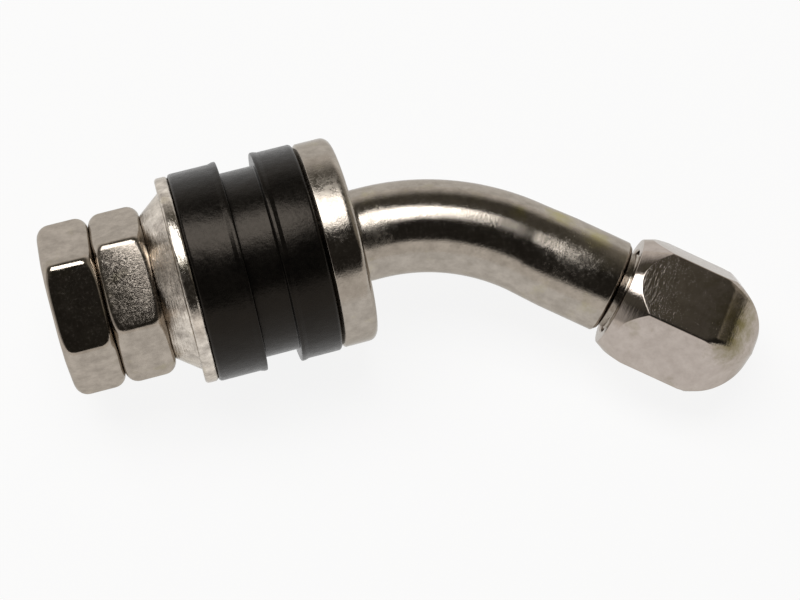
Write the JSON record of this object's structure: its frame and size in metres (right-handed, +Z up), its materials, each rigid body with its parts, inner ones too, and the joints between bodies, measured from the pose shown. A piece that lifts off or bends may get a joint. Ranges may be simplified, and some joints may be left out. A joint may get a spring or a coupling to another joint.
{
  "type": "tyre valve",
  "caption": "Bent metal clamp-in tyre valve with rubber grommets, cone washer, hexagon nuts, domed hexagon cap and a spring-loaded valve core.",
  "frame": {"origin": "centre of the rim seat, on the shank's axis midway between the two rubber rings", "axes": "+X along the shank towards the outside of the wheel, +Z up from the table that the valve lies on, stem bent towards -Y"},
  "size_m": [0.0586, 0.0294, 0.0184],
  "materials": {
    "plated_brass": "bright plated, lightly pitted",
    "plated_steel": "bright plated with fine scratches",
    "rubber": "matt moulded rubber",
    "brass": "turned brass",
    "spring_steel": "drawn wire",
    "seal_plastic": "moulded"
  },
  "bodies": {
    "stem": {"stem": "plated_brass", "outer_grommet": "rubber", "core_plug": "brass", "core_barrel": "brass", "core_gasket": "seal_plastic", "core_spring": "spring_steel"},
    "clamp": {"cone_washer": "plated_steel", "inner_grommet": "rubber"},
    "clamp_nut": {"clamp_nut": "plated_steel"},
    "lock_nut": {"lock_nut": "plated_steel"},
    "cap_seal": {"cap_seal": "rubber"},
    "cap": {"cap": "plated_brass"},
    "core_pin": {"core_pin": "spring_steel", "core_cup": "brass", "core_seat": "rubber"}
  },
  "joints": [
    {"name": "clamp_travel", "type": "slide", "parent": "stem", "child": "clamp", "axis": [-1, 0, 0], "range_m": [0, 0.009]},
    {"name": "clamp_nut_turn", "type": "hinge", "parent": "clamp", "child": "clamp_nut", "pos_m": [-0.00885, 0, 0], "axis": [-1, 0, 0], "range_deg": [0, 3240]},
    {"name": "lock_nut_off", "type": "slide", "parent": "clamp_nut", "child": "lock_nut", "axis": [-1, 0, 0], "range_m": [0, 0.006]},
    {"name": "cap_travel", "type": "slide", "parent": "stem", "child": "cap_seal", "axis": [0.7727, -0.6157, -0.1544], "range_m": [0, 0.01032]},
    {"name": "cap_turn", "type": "hinge", "parent": "cap_seal", "child": "cap", "pos_m": [0.03681, -0.01561, -0.00392], "axis": [0.7727, -0.6157, -0.1544], "range_deg": [0, 4680]},
    {"name": "core_pin_press", "type": "slide", "parent": "stem", "child": "core_pin", "axis": [-0.7727, 0.6157, 0.1544], "range_m": [0, 0.0012], "stiffness_N_per_m": 300, "springref_m": -0.0015, "deforming": ["core_spring"]}
  ],
  "couplings": [
    {"joint": "clamp_nut_turn", "follows": "clamp_travel", "rad_per_m": 6283.2},
    {"joint": "cap_turn", "follows": "cap_travel", "rad_per_m": 7913.3}
  ]
}
